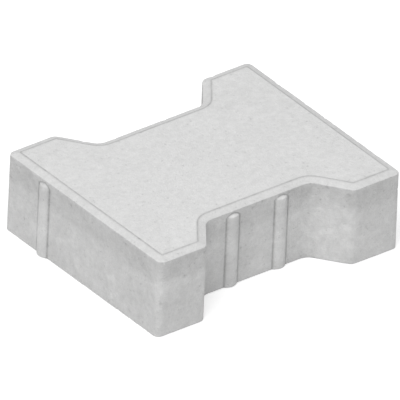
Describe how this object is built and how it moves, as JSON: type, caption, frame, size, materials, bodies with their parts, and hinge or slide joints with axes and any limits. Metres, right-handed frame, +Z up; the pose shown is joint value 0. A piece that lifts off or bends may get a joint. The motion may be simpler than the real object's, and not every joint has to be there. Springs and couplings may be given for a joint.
{
  "type": "concrete paving stone",
  "caption": "I-shaped interlocking concrete paving stone with a flat chamfer round its walking face and upright spacer ribs on its sides, laid so that its waist locks round its neighbours.",
  "frame": {"origin": "on the bed face (underside), below the middle of the stone", "axes": "+X along the length, +Y across the heads, +Z up, out of the walking face"},
  "size_m": [0.205, 0.165, 0.06],
  "materials": {
    "concrete": "fine-grained pressed concrete, matt"
  },
  "bodies": {
    "root": {"paving_stone": "concrete"}
  },
  "joints": []
}
